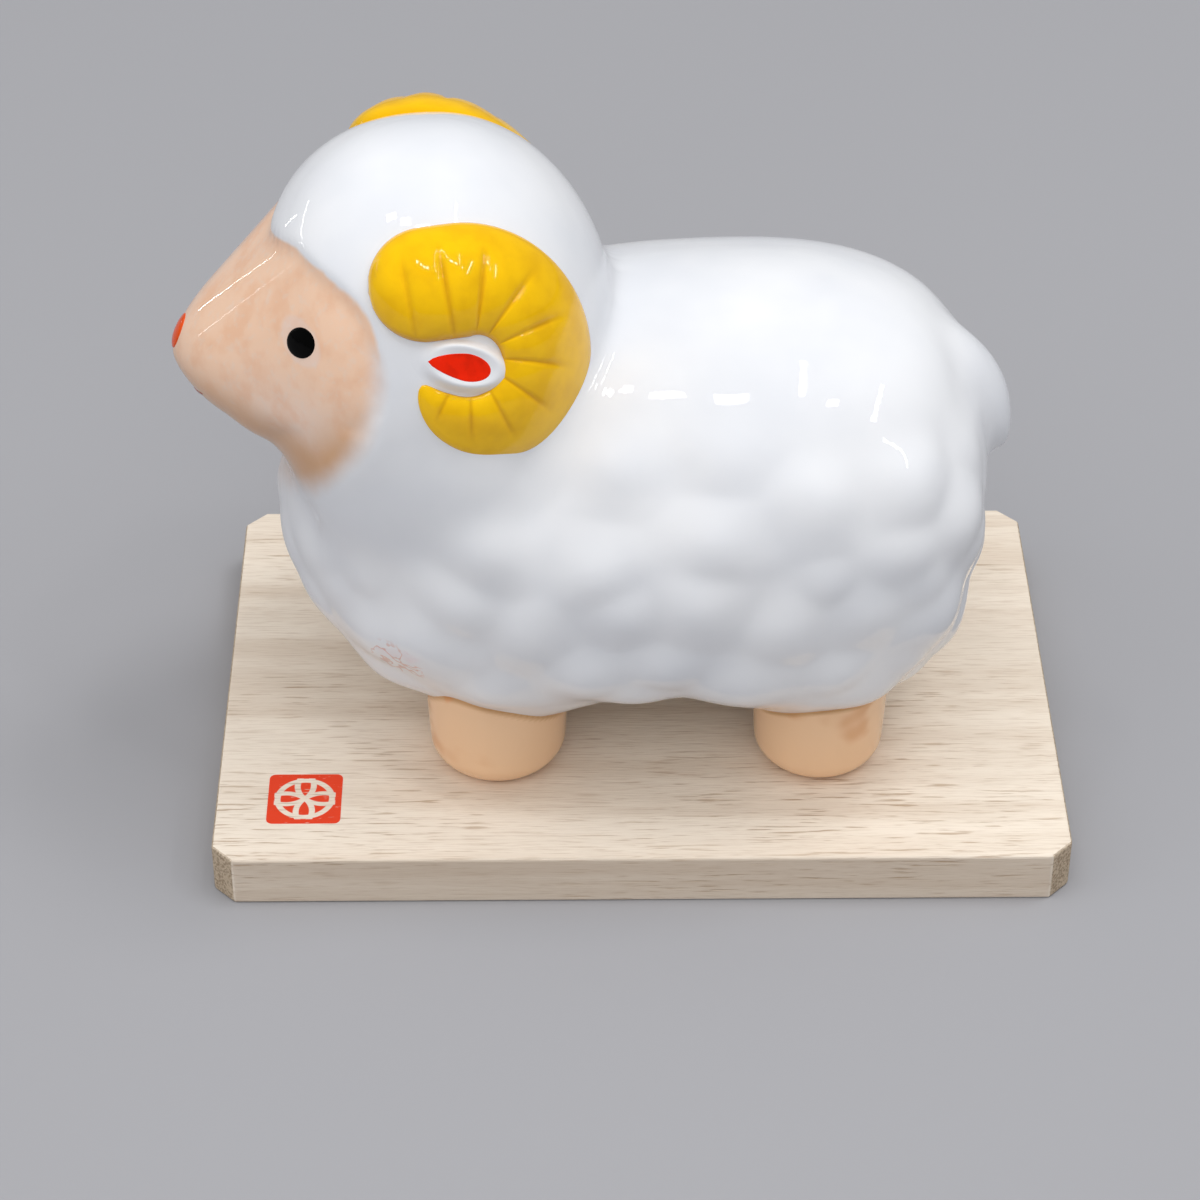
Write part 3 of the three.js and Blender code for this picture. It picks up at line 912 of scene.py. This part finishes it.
# Where the horn's middle lies on the head and which way it faces, as a turn and a rise
HORN_PLACE = (7.7, 38.5)
HORN_FACING = (2.2, 39.9)
COIL_MIDDLE = np.array((2, -4.9))
COIL_RADIUS = 9.8
COIL_START = math.radians(96.8)
COIL_END = math.radians(-151)
ROOT_RUN = 4.7
ROOT_HALF_WIDTH = 7.5
TIP_HALF_WIDTH = 1.7
TIP_RUN = 6.5
TIP_CURL = 2.1
COIL_SWELL = 0.8
HORN_HEIGHT_SHARE = 0.45
COIL_FLATNESS = 0.07
HORN_FOOT_SLOPE = 1.1
HORN_RINGS = 11
RING_ROWS = 16
RING_SWELL = 0.12
RING_BEND = 0.06
GROOVE_WIDTH = 0.06
GROOVE_ENDS = ((0.06, 0.12), (0.97, 0.93))
HORN_INNER_SIDE = (0.75, 0.05)
# Span of the foot's darkening and its share on the outer side: pooled glaze and painted shade
HORN_FOOT_POOL_AND_SHADE = (0.55, 0.1)
HORN_FOOT_POOL_AND_SHADE_OUTSIDE = 0.45
RIGHT_HORN_TURN = math.radians(-12.5)

EAR_MIDDLE = np.array((0.9, -6.4))
EAR_TURN = math.radians(-10)
EAR_HALF_SIZE = np.array((6.8, 3.6))
EAR_RIM_HEIGHT = 1.2
EAR_FLOOR_HEIGHT = 0.65
EAR_BACK_DEPTH = 0.9
EAR_SINK = (0.25, 0.95)
EAR_SINK_SHARE = 0.75
EAR_EDGE = (1.02, 0.66)
EAR_DISH = (1.0, 0.4)
EAR_CREST = 0.7
EAR_CREST_WIDTH = 0.27
LINING_MIDDLE = np.array((0.3, -0.15))
LINING_THICKNESS = 0.6
LINING = Plump((0, 0, 0), 5.1, 3.1, 1.75, 1, 1, ends=(1.45, 2.0))


def on_head(flat, height):
    """Places flat points on the head's left side, at their heights above its skin."""
    outward = direction(*HORN_FACING)
    turn = math.radians(HORN_FACING[0])
    along = np.array((math.cos(turn), math.sin(turn), 0))
    across = np.cross(outward, along)
    start = skin_point(SKULL, *HORN_PLACE) + flat[:, :1] * along + flat[:, 1:2] * across
    reach = skin_reach(SKULL, start, outward, -SKULL.side / 2, SKULL.side / 2)
    return start + (reach + height[:, None]) * outward


def rounded_end(distance, radius):
    """Share of the full width at a distance from a round end."""
    return np.sqrt(1 - np.maximum(0, 1 - distance / radius) ** 2)


def horn_shape(groove_share):
    """A half-round rod whose straight root runs into a coil, with rings across its inner side."""
    shape, points = globe(72, HORN_RINGS * RING_ROWS)
    share = np.arccos(np.clip(points[:, 2], -1, 1)) / math.pi
    turn = np.arctan2(points[:, 1], points[:, 0])
    sweep = COIL_START - COIL_END
    coil_length = COIL_RADIUS * sweep
    full_length = ROOT_HALF_WIDTH + ROOT_RUN + coil_length
    from_root = share * full_length
    into_coil = from_root + coil_length - full_length
    coiled = np.maximum(0, into_coil / coil_length)
    heading = COIL_START - coiled * sweep
    side = np.stack((np.cos(heading), np.sin(heading)), axis=1)
    middle = COIL_MIDDLE + side * (COIL_RADIUS - TIP_CURL * coiled**3)[:, None]
    back = np.maximum(0, -into_coil)
    middle -= back[:, None] * np.array((math.sin(COIL_START), -math.cos(COIL_START)))
    mid_coil = np.sin(math.pi * coiled)
    taper = ROOT_HALF_WIDTH + (TIP_HALF_WIDTH - ROOT_HALF_WIDTH) * coiled
    ends = rounded_end(from_root, ROOT_HALF_WIDTH) * rounded_end(full_length - from_root, TIP_RUN)
    half_width = (taper + COIL_SWELL * mid_coil) * ends

    inner = smooth_share(np.cos(turn), *HORN_INNER_SIDE)
    phase = (share * HORN_RINGS + RING_BEND * np.cos(turn)) % 1
    groove = np.exp(-((np.minimum(phase, 1 - phase) / GROOVE_WIDTH) ** 2)) * inner
    for end in GROOVE_ENDS:
        groove *= smooth_share(share, *end)
    swell = np.sin(math.pi * phase) * inner
    height = (HORN_HEIGHT_SHARE - COIL_FLATNESS * mid_coil) * half_width
    height *= 1 - groove_share * groove + RING_SWELL * swell
    upward = np.sin(turn)
    profile = np.where(upward > 0, np.abs(upward) ** HORN_FOOT_SLOPE, upward)
    flat = middle + side * (half_width * np.cos(turn))[:, None]
    put(shape.verts, on_head(flat, height * profile))
    mark(shape, "groove", groove)
    # The foot mark is partly pooled glaze and partly painted shade where the horn meets the head,
    # stronger on the inner side
    foot = smooth_share(upward, *HORN_FOOT_POOL_AND_SHADE)
    mark(shape, "foot", foot * np.where(np.cos(turn) < 0, 1, HORN_FOOT_POOL_AND_SHADE_OUTSIDE))
    return face_outward(shape)


def in_coil(shape, flat, height):
    """Lays a shape on the head inside the horn's coil, turned as the ear is."""
    cosine, sine = math.cos(EAR_TURN), math.sin(EAR_TURN)
    turned = flat @ np.array(((cosine, sine), (-sine, cosine)))
    put(shape.verts, on_head(EAR_MIDDLE + turned, height))
    return face_outward(shape)


def ear_height(flat):
    """Height of the ear's face above the head: a rim that sinks to the front, and a dish."""
    rearward, upward = (flat / EAR_HALF_SIZE).T
    out = np.hypot(rearward, upward)
    rim = EAR_RIM_HEIGHT * (1 - EAR_SINK_SHARE * smooth_share(-rearward, *EAR_SINK))
    crest = np.exp(-(((out - EAR_CREST) / EAR_CREST_WIDTH) ** 2))
    dish = EAR_FLOOR_HEIGHT * (1 - crest) * smooth_share(out, *EAR_DISH)
    return (rim * crest + dish) * smooth_share(out, *EAR_EDGE)


def ear_shape():
    """A leaf with a round rim and a dish, whose front end runs into the head."""
    shape, points = globe(72, 56)
    flat = points[:, :2] * EAR_HALF_SIZE
    height = np.where(points[:, 2] > 0, ear_height(flat), EAR_BACK_DEPTH * points[:, 2])
    return in_coil(shape, flat, height)


def lining_shape(thickness):
    """A teardrop of enamel that lies in the ear's dish, with its point to the front."""
    shape, points = globe(56, 32)
    around = np.column_stack((points[:, :2], np.zeros(len(points))))
    size = np.linalg.norm(around, axis=1)
    outline = LINING.skin(around / np.maximum(size, 1e-6)[:, None] + (1e-9, 0, 0))
    flat = outline[:, :2] * size[:, None] + LINING_MIDDLE
    return in_coil(shape, flat, ear_height(flat) + LINING_THICKNESS * thickness * points[:, 2])


def both_sides(name, shape, slot, look, turn=0.0):
    """Hands over a left piece, and its mirror image on the right, turned round the head."""
    right = mirrored(shape)
    round_head = Matrix.Rotation(turn, 3, "Y")
    bmesh.ops.rotate(right, cent=SKULL.middle, matrix=round_head, verts=right.verts)
    for side, half in (("right", right), ("left", shape)):
        stand_in(f"{name}_{side}", in_frame(half), "sheep", slot, look)


class SHEEP_OT_horns(bpy.types.Operator):
    """Builds the two coiled, ringed horns"""

    bl_idname = "sheep.horns"
    bl_label = "Ringed Horns"

    def execute(self, context):
        shape = horn_shape(context.scene.sheep_horns.groove_share)
        both_sides("horn", shape, "horn_glaze", horn_glaze(), RIGHT_HORN_TURN)
        return {"FINISHED"}


class SHEEP_OT_ears(bpy.types.Operator):
    """Builds the two ears and their enamel linings"""

    bl_idname = "sheep.ears"
    bl_label = "Ears and Linings"

    def execute(self, context):
        scene = context.scene
        skin = bpy.data.materials["glazed_skin"]
        both_sides("ear", ear_shape(), "white_glaze", skin, RIGHT_HORN_TURN)
        lining = lining_shape(scene.sheep_enamel.thickness / MM)
        red = enamel("red_enamel", scene.sheep_enamel.red)
        both_sides("ear_lining", lining, "red_enamel", red, RIGHT_HORN_TURN)
        return {"FINISHED"}


# Enamel on the face

EYE_X = -45.0
EYE_HEIGHT = 72.0
EYE_HALF_SIZE = (2.6, 2.05)
NOSE_HEIGHT = 61.4
NOSE_HALF_SIZE = (2.3, 2.4)
MOUTH_HALF_SIZE = (7.2, 0.6)
MOUTH_END_HEIGHT = 55.9
MOUTH_SAG = 2.4
MOUTH_THICKNESS = 0.4
# Where the lines that carry the enamel onto the skin start: ahead of the face, and off the eye
AHEAD = -90
EYE_STANDOFF = 8


def enamel_patch(tree, start, inward, along, half_size, thickness, sag=0.0):
    """A raised oval of enamel, which a sag bends, sent along a line onto the skin."""
    inward, along = Vector(inward).normalized(), Vector(along).normalized()
    across = inward.cross(along).normalized()
    shape, points = globe(40, 20)
    outline = points[:, :2] * half_size
    outline[:, 1] -= sag * (1 - points[:, 0] ** 2)
    for vertex, (right, up), rise in zip(shape.verts, outline, points[:, 2]):
        hit, normal, _, _ = tree.ray_cast(Vector(start) + along * right + across * up, inward)
        if hit is None:
            raise RuntimeError("The enamel misses the face.")
        vertex.co = hit + normal * (thickness * rise)
    return face_outward(shape)


class SHEEP_OT_enamel(bpy.types.Operator):
    """Paints the eyes, the nose and the mouth in raised enamel"""

    bl_idname = "sheep.enamel"
    bl_label = "Eyes, Nose and Mouth"

    def execute(self, context):
        colours = context.scene.sheep_enamel
        proud = colours.thickness / MM
        tree = skin_tree("face", "head")

        def on_front(height, *outline):
            return in_frame(enamel_patch(tree, (AHEAD, 0, height), (1, 0, 0), (0, 1, 0), *outline))

        eyes = self.eye_patch(tree, proud)
        both_sides("eye", eyes, "black_enamel", enamel("black_enamel", colours.black, 0.06))
        shape = on_front(NOSE_HEIGHT, NOSE_HALF_SIZE, proud)
        stand_in("nose", shape, "sheep", "red_enamel", enamel("nose_enamel", colours.nose))
        shape = on_front(MOUTH_END_HEIGHT, MOUTH_HALF_SIZE, proud * MOUTH_THICKNESS, MOUTH_SAG)
        piece = new_object("mouth", shape)
        hand_over(piece, "sheep", "red_enamel", enamel("mouth_enamel", colours.mouth))
        return {"FINISHED"}

    def eye_patch(self, tree, proud):
        """The eye lies square to the skin where a level line from the side meets the face."""
        hit, normal, _, _ = tree.ray_cast(Vector((EYE_X, AHEAD, EYE_HEIGHT)), Vector((0, 1, 0)))
        along = Vector((1, 0, 0)) - normal * normal.x
        start = hit + normal * EYE_STANDOFF
        return enamel_patch(tree, start, -normal, along, EYE_HALF_SIZE, proud)


# Legs

LEG_RADII = {"front": 10.5, "rear": 10.0}
FOOT_ROUND = 3.8
LEG_TAPER = 0.8
LEG_LENGTH = 20.0
LEG_HEM_SHADE = (0.7, 0.1)
FOOT_STEPS = 12
LEG_STEPS = 40
LEG_COLUMNS = 72


def leg_shape(node, radius):
    """A round stub with a soft foot, spun about the middle of its node."""
    middle = FIGURE.inverted() @ (sum(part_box(node), Vector()) / 2)
    shape = bmesh.new()
    foot = radius - LEG_TAPER - FOOT_ROUND
    outline = [(0, 0), (foot, 0)]
    for step in range(1, FOOT_STEPS + 1):
        angle = step / FOOT_STEPS * math.pi / 2
        outline.append((foot + FOOT_ROUND * math.sin(angle), FOOT_ROUND * (1 - math.cos(angle))))
    for step in range(1, LEG_STEPS + 1):
        share = step / LEG_STEPS
        height = FOOT_ROUND + share * (LEG_LENGTH - FOOT_ROUND)
        outline.append((radius - LEG_TAPER * (1 - share), height))
    outline.append((0, LEG_LENGTH))
    verts = [shape.verts.new((middle.x + across, middle.y, up)) for across, up in outline]
    edges = [shape.edges.new(pair) for pair in zip(verts, verts[1:])]
    bmesh.ops.spin(
        shape, geom=verts + edges, cent=(middle.x, middle.y, 0), axis=(0, 0, 1),
        angle=2 * math.pi, steps=LEG_COLUMNS, use_merge=True,
    )
    bmesh.ops.remove_doubles(shape, verts=shape.verts, dist=0.001)
    return face_outward(shape)


class SHEEP_OT_legs(bpy.types.Operator):
    """Builds the four stub legs"""

    bl_idname = "sheep.legs"
    bl_label = "Stub Legs"

    def execute(self, context):
        tree = skin_tree("fleece_body")
        look = leg_glaze()
        for end, radius in LEG_RADII.items():
            for side in ("left", "right"):
                name = f"leg_{end}_{side}"
                shape = leg_shape(name, radius)
                away = distances(tree, [vertex.co for vertex in shape.verts])
                # Painted shade: each leg darkens within a short distance of the fleece, where its
                # hem overhangs
                mark(shape, "hem_shade", smooth_share(away, *LEG_HEM_SHADE))
                stand_in(name, in_frame(shape), "sheep", "peach_glaze", look)
        return {"FINISHED"}


# Board and seal

BOARD_EASE = 0.45
BOARD_EASE_STEPS = 3
SEAL_MIDDLE = Vector((-47.5, -27.2))
SEAL_CORNER = 0.9
SEAL_CORNER_STEPS = 5
SEAL_THICKNESS = 0.05


def eased_block(low, high, clip, clip_steps, ease):
    """A block between two corners, its upright edges clipped or rounded and all its edges eased."""
    shape = bmesh.new()
    bmesh.ops.create_cube(shape, size=1)
    bmesh.ops.scale(shape, vec=high - low, verts=shape.verts)
    bmesh.ops.translate(shape, vec=(low + high) / 2, verts=shape.verts)
    rounding = {"profile": 0.5, "affect": "EDGES", "material": -1}
    upright = [e for e in shape.edges if abs(e.verts[0].co.z - e.verts[1].co.z) > ease]
    bmesh.ops.bevel(shape, geom=upright, offset=clip, segments=clip_steps, **rounding)
    if ease:
        edges = shape.edges[:]
        bmesh.ops.bevel(shape, geom=edges, offset=ease, segments=BOARD_EASE_STEPS, **rounding)
    return shape


class SHEEP_OT_board(bpy.types.Operator):
    """Builds the wooden board with its clipped corners"""

    bl_idname = "sheep.board"
    bl_label = "Wooden Board"

    def execute(self, context):
        settings = context.scene.sheep_board
        shape = eased_block(BOARD_LOW, BOARD_HIGH, settings.corner_clip, 1, BOARD_EASE * MM)
        stand_in("base_board", shape, "board", "board_wood", bare_wood()).data.shade_flat()
        return {"FINISHED"}


class SHEEP_OT_seal(bpy.types.Operator):
    """Prints a plain geometric seal on the board"""

    bl_idname = "sheep.seal"
    bl_label = "Printed Seal"

    def execute(self, context):
        half = context.scene.sheep_board.seal_size / 2
        middle = Vector((SEAL_MIDDLE.x * MM, SEAL_MIDDLE.y * MM, BOARD_HIGH.z))
        reach = Vector((half, half, SEAL_THICKNESS * MM))
        block = eased_block(middle - reach, middle + reach, SEAL_CORNER * MM, SEAL_CORNER_STEPS, 0)
        piece = new_object("printed_seal", block)
        hand_over(piece, "board", "red_enamel", printed_seal())
        piece.data.shade_flat()
        return {"FINISHED"}


# Stage

CAMERA_PITCH = math.radians(38.41)
CAMERA_YAW = math.radians(-0.76)
CAMERA_ROLL = math.radians(0.19)
CAMERA_TARGET = Vector((-5.3, 17.7, 0))
CAMERA_DISTANCE = 541.4
FLOOR_HALF_SIZE = 6.0
ROOM_COLOUR = (0.95, 0.97, 1, 1)
AIM_OF_LAMPS = (0, 0, 0.05)
# Each lamp's place and size, the setting that its radiance follows, and its share of that if not 1
LAMPS = {
    "ceiling": ((0.05, -0.1, 1.5), (3, 3), "key"),
    "window": ((0.55, 0.2, 1.35), (0.35, 0.35), "window"),
    "front": ((0, -1.2, 1.05), (1.2, 1.2), "front"),
    "fill": ((-1.2, -0.35, 0.6), (1, 1), "front"),
    "tube_right": ((0.81, -0.21, 1.06), (0.03, 0.5), "tube"),
    "tube_middle": ((0.26, 0, 1.25), (0.03, 0.4), "tube"),
    "tube_low": ((-0.95, 0.85, 0.06), (0.3, 0.007), "tube", 1.2),
    "tube_left": ((-1.2, 0.46, 0.15), (0.25, 0.006), "tube", 0.5),
    "tube_rear": ((-1.04, 0.65, 0.36), (0.02, 0.4), "tube", 0.3),
}
SPOTS = ((-0.4, 0.04), (-0.26, -0.05), (-0.12, -0.15), (0.02, -0.2), (0.5, -0.32))
SPOT_HEIGHT = 1.28
SPOT_SIZE = (0.09, 0.09)


def aim(piece, location, target, upward):
    """Stands a lamp or camera somewhere and turns it to a target."""
    back = (Vector(location) - Vector(target)).normalized()
    right = Vector(upward).cross(back).normalized()
    turn = Matrix((right, back.cross(right), back)).transposed().to_4x4()
    piece.matrix_world = Matrix.Translation(location) @ turn


class SHEEP_OT_camera(bpy.types.Operator):
    """Stands the camera where the figure is seen from above its left side"""

    bl_idname = "sheep.camera"
    bl_label = "Camera"

    def execute(self, context):
        data = bpy.data.cameras.new("camera")
        data.sensor_width = 36
        data.lens = context.scene.sheep_stage.focal
        data.clip_start = 0.01
        camera = bpy.data.objects.new("camera", data)
        context.scene.collection.objects.link(camera)
        flat = math.cos(CAMERA_PITCH)
        right, away = math.sin(CAMERA_YAW) * flat, math.cos(CAMERA_YAW) * flat
        back = Vector((right, -away, math.sin(CAMERA_PITCH)))
        target = FIGURE @ CAMERA_TARGET
        aim(camera, target + back * CAMERA_DISTANCE * MM, target, (0, 0, 1))
        camera.matrix_world = camera.matrix_world @ Matrix.Rotation(CAMERA_ROLL, 4, "Z")
        context.scene.camera = camera
        return {"FINISHED"}


class SHEEP_OT_stage(bpy.types.Operator):
    """Lays a plain pale floor and hangs soft studio lamps with a few bright tubes"""

    bl_idname = "sheep.stage"
    bl_label = "Floor and Lamps"

    def execute(self, context):
        settings = context.scene.sheep_stage
        shape = bmesh.new()
        bmesh.ops.create_grid(shape, x_segments=1, y_segments=1, size=FLOOR_HALF_SIZE)
        floor = new_object("floor", shape)
        matt = Finish("floor", 0.9)
        floor.data.materials.append(matt.coloured((*settings.floor, 1)))

        world = bpy.data.worlds.new("room")
        world.use_nodes = True
        room = world.node_tree.nodes["Background"]
        room.inputs["Color"].default_value = ROOM_COLOUR
        room.inputs["Strength"].default_value = settings.sky
        context.scene.world = world

        for name, lamp in LAMPS.items():
            self.lamp(name, *lamp)
        for number, spot in enumerate(SPOTS):
            self.lamp(f"spot_{number}", (*spot, SPOT_HEIGHT), SPOT_SIZE, "tube")
        context.scene.view_settings.view_transform = "Standard"
        return {"FINISHED"}

    def lamp(self, name, place, size, setting, share=1.0):
        """A flat lamp turned to the figure; the glaze mirrors only the bright tubes."""
        radiance = getattr(bpy.context.scene.sheep_stage, setting) * share
        data = bpy.data.lights.new(name, "AREA")
        data.shape = "RECTANGLE"
        data.size, data.size_y = size
        data.energy = radiance * math.pi * size[0] * size[1]
        lamp = bpy.data.objects.new(name, data)
        lamp.visible_glossy = setting == "tube"
        bpy.context.scene.collection.objects.link(lamp)
        aim(lamp, place, AIM_OF_LAMPS, (0, 1, 0.2))


class SHEEP_PT_build(bpy.types.Panel):
    """Lists the steps that build the sheep"""

    bl_idname = "SHEEP_PT_build"
    bl_label = "Glazed Sheep"
    bl_space_type = "VIEW_3D"
    bl_region_type = "UI"
    bl_category = "Sheep"

    def draw(self, context):
        for name in GROUPS:
            box = self.layout.box()
            group = getattr(context.scene, name)
            for setting in group.bl_rna.properties:
                if setting.identifier not in ("rna_type", "name"):
                    box.prop(group, setting.identifier)
        for step in STEPS:
            self.layout.operator(step.bl_idname)


GROUPS = {
    "sheep_wool": SheepWool,
    "sheep_face": SheepFace,
    "sheep_horns": SheepHorns,
    "sheep_enamel": SheepEnamel,
    "sheep_legs": SheepLegs,
    "sheep_board": SheepBoard,
    "sheep_stage": SheepStage,
}
STEPS = (
    SHEEP_OT_camera,
    SHEEP_OT_casting,
    SHEEP_OT_horns,
    SHEEP_OT_ears,
    SHEEP_OT_enamel,
    SHEEP_OT_legs,
    SHEEP_OT_board,
    SHEEP_OT_seal,
    SHEEP_OT_stage,
)


def register():
    for group in (*GROUPS.values(), *STEPS, SHEEP_PT_build):
        bpy.utils.register_class(group)
    for name, group in GROUPS.items():
        setattr(bpy.types.Scene, name, PointerProperty(type=group))


def unregister():
    for name in GROUPS:
        delattr(bpy.types.Scene, name)
    for group in reversed((*GROUPS.values(), *STEPS, SHEEP_PT_build)):
        bpy.utils.unregister_class(group)


def main():
    register()
    bpy.ops.sheep.camera()
    bpy.ops.sheep.casting()
    bpy.ops.sheep.horns()
    bpy.ops.sheep.ears()
    bpy.ops.sheep.enamel()
    bpy.ops.sheep.legs()
    bpy.ops.sheep.board()
    bpy.ops.sheep.seal()
    bpy.ops.sheep.stage()


if __name__ == "__main__":
    main()
